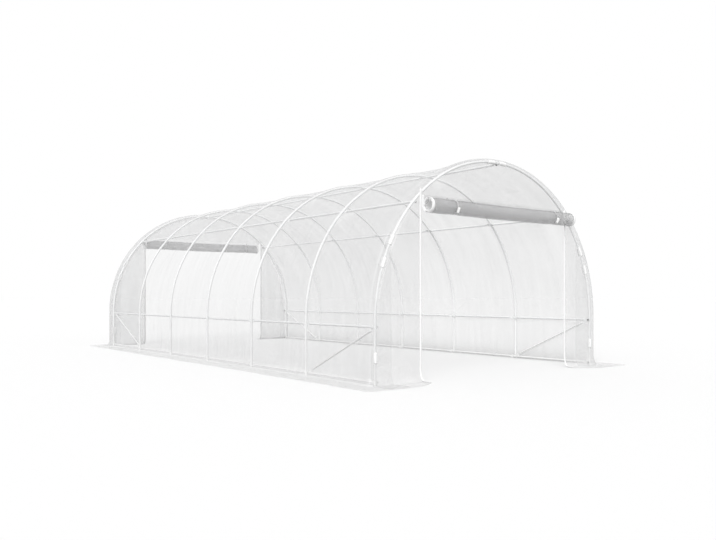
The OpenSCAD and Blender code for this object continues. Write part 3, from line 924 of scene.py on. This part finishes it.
def tie_line(x, end):
    """Path of a front tie: from the seam down behind the door's flap, round under the roll and up its
    front, and over the top to tuck in between the roll and the flap."""
    turn = -np.linspace(0, strap_round, strap_steps)
    r = roll_r - nip_depth + roll_crease + strap_gap
    behind = hang(np.full(len(strap_drop), x), strap_drop, end)
    y = np.r_[-end_y - behind + strap_clear, roll_y + r * np.cos(turn)]
    z = np.r_[door_top + (roll_z - door_top) * strap_drop, roll_z + r * np.sin(turn)]
    return even_path(np.stack([np.full(len(y), x), y, z], axis=-1), strap_pace)[0]


def tie_straps(end):
    """Both straps of the front door: a flat profile with rounded edges carried along each tie's path."""
    ring = oval(strap_sides)
    rounded = np.sign(ring) * np.abs(ring) ** strap_edge
    profile = rounded[::-1] * np.array([strap_w, strap_t]) / 2
    return together(*[carried(tie_line(x, end), (1.0, 0.0, 0.0), profile) for x in tie_x])


def toggles():
    """Barrels with rounded ends and a slight waist, set upright on the roll's front over each strap."""
    from_end = toggle_along * toggle_l
    wide = toggle_wide * toggle_r
    heights = np.r_[from_end, toggle_l - from_end[::-1]] - toggle_l / 2
    r = roll_r + strap_t + toggle_r - toggle_seat
    place = np.array([0.0, roll_y + r * np.cos(toggle_turn), roll_z + r * np.sin(toggle_turn)])
    across = np.array([[1.0, 0.0, 0.0]])
    axis = np.array([[0.0, -np.sin(toggle_turn), np.cos(toggle_turn)]])
    barrel = lathe(np.r_[wide, wide[::-1]], heights, toggle_sides)
    return set_out(barrel, place + tie_x[:, None] * across, across, np.cross(axis, across), axis)


tie_film = coated("tie_film", strap_grey, roughness=0.3, grain_scale=500.0, splash=0.0)
toggle_plastic = coated("toggle_plastic", toggle_white, roughness=0.3, grain_scale=300.0, splash=0.0)
for end in ("front", "rear"):
    straps = at_corner(tie_straps(end), False, end == "rear")
    piece(f"{end}_ties", straps, tie_film, [f"{end}_door_ties"])
    piece(f"{end}_toggles", at_corner(toggles(), False, end == "rear"), toggle_plastic)

# Film clips: white moulded snaps pressed over the end walls on the end hoops, two at each shoulder,
# two at the ridge and one on each leg. Each is a springy C, open to the back, with flared lips.
clip_white = (0.95, 0.95, 0.945, 1.0)
clip_l = 0.088
clip_t = 0.0060
clip_gap = 0.0004
clip_wrap = np.radians(140.0)
clip_plain = 0.75
clip_flare = 0.0040
clip_round = 0.0010
clip_round_steps = 2
clip_sides = 27
clip_rows = 9
leg_clip_z = 0.228
clip_turn = np.radians([20.0, 28.0, 87.0, 93.0, 152.0, 160.0])
clip_s = np.r_[leg_clip_z, leg_h + arch_r * clip_turn, hoop_l - leg_clip_z]


def clip_profile():
    """A C about the tube: an arc of even thickness, whose two ends flare out as a square."""
    turn = np.linspace(-clip_wrap, clip_wrap, clip_sides)[:, None]
    lip = np.maximum(np.abs(turn) / clip_wrap - clip_plain, 0) / (1 - clip_plain)
    inner = tube_r + clip_gap + clip_flare * lip ** 2
    around = np.concatenate([-np.cos(turn), np.sin(turn)], axis=-1)
    return np.concatenate([(inner + clip_t) * around, (inner * around)[::-1]])


def film_clips():
    """The front hoop's clips: the C carried along the hoop for the length of each clip."""
    s = clip_s[:, None] + np.linspace(-clip_l / 2, clip_l / 2, clip_rows)
    x, z = hoop_path(s)[:2]
    paths = np.stack([x, np.full(x.shape, -end_y), z], axis=-1)
    return together(*[carried(path, (0.0, 1.0, 0.0), clip_profile()) for path in paths])


clip_plastic = coated("clip_plastic", clip_white, roughness=0.28, grain_scale=260.0)
for end in ("front", "rear"):
    shape = at_corner(film_clips(), False, end == "rear")
    clips = piece(f"{end}_clips", shape, clip_plastic, [f"{end}_film_clips"])
    rounding = clips.modifiers.new("rounding", "BEVEL")
    rounding.width = clip_round
    rounding.segments = clip_round_steps

# Studio: a wide pale floor under an even white sky, with one broad soft lamp high at the front
# left. What the camera, gloss or film sees of the sky is plain white.
floor_half = 150.0
floor_drop = 0.0008
floor_white = (0.896, 0.896, 0.896, 1.0)
floor_grey = (0.50, 0.50, 0.50, 1.0)
sky_light = 0.66
lamp_light = 2.50
lamp_spread = 32.0
lamp_height = 35.0
lamp_turn = -48.0
film_bounces = 96


def seen_ray(tree):
    """1 for the rays by which the camera, gloss or glass sees a surface, 0 for the light it passes on."""
    ray = put(tree, "LightPath").outputs
    direct = worked(tree, "MAXIMUM", ray["Is Camera Ray"], ray["Is Glossy Ray"])
    return worked(tree, "MAXIMUM", direct, ray["Is Transmission Ray"])


corner = floor_half * np.array([[-1, -1], [1, -1], [1, 1], [-1, 1]])
floor_mesh = bpy.data.meshes.new("floor")
floor_mesh.from_pydata(np.c_[corner, np.full(len(corner), -floor_drop)].tolist(), [], [[0, 1, 2, 3]])
floor = bpy.data.objects.new("floor", floor_mesh)
floor_paint, floor_tree, floor_shader = finish_of("floor_paint", Roughness=0.9, Specular_IOR_Level=0.1)
floor_colour = blended(floor_tree, seen_ray(floor_tree), floor_grey, floor_white)
floor_tree.links.new(floor_colour, floor_shader["Base Color"])
floor.data.materials.append(floor_paint)
bpy.context.scene.collection.objects.link(floor)
sky = bpy.data.worlds.new("sky")
sky.use_nodes = True
sky_shader = sky.node_tree.nodes["Background"].inputs
sky_shader["Color"].default_value = (1.0, 1.0, 1.0, 1.0)
sky_level = ranged(sky.node_tree, seen_ray(sky.node_tree), (0.0, 1.0), (sky_light, 1.0))
sky.node_tree.links.new(sky_level, sky_shader["Strength"])
bpy.context.scene.world = sky
lamp = bpy.data.lights.new("soft_lamp", "SUN")
lamp.energy = lamp_light
lamp.angle = np.radians(lamp_spread)
lamp_object = bpy.data.objects.new("soft_lamp", lamp)
lamp_object.rotation_euler = (np.radians(90.0 - lamp_height), 0.0, np.radians(lamp_turn))
bpy.context.scene.collection.objects.link(lamp_object)
bpy.context.scene.view_settings.view_transform = "Standard"
bpy.context.scene.cycles.transparent_max_bounces = film_bounces
